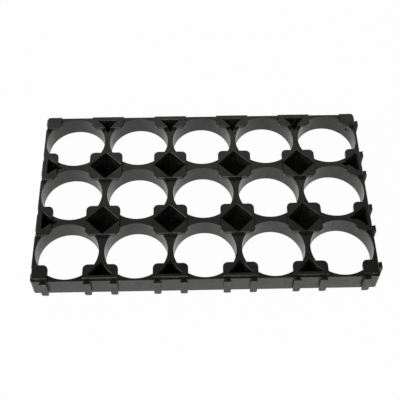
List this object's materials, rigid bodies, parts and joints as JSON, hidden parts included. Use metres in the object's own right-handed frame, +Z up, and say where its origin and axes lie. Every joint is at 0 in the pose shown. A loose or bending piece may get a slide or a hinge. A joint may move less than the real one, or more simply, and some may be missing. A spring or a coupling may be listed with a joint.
{
  "type": "battery cell holder bracket",
  "caption": "Flat black plastic bracket that spaces round battery cells on a square grid, with stop pads over the bore edges and dovetail joining ribs on two sides.",
  "frame": {"origin": "middle of the underside's outline, joining ribs included", "axes": "+X along the long side, towards the ribbed short side; +Z up, from the side the cells enter to the side of the stop pads; the ribbed long side faces -Y"},
  "size_m": [0.1018, 0.0612, 0.0079],
  "materials": {
    "black_abs": "satin"
  },
  "bodies": {
    "root": {"cell_bracket": "black_abs"}
  },
  "joints": []
}
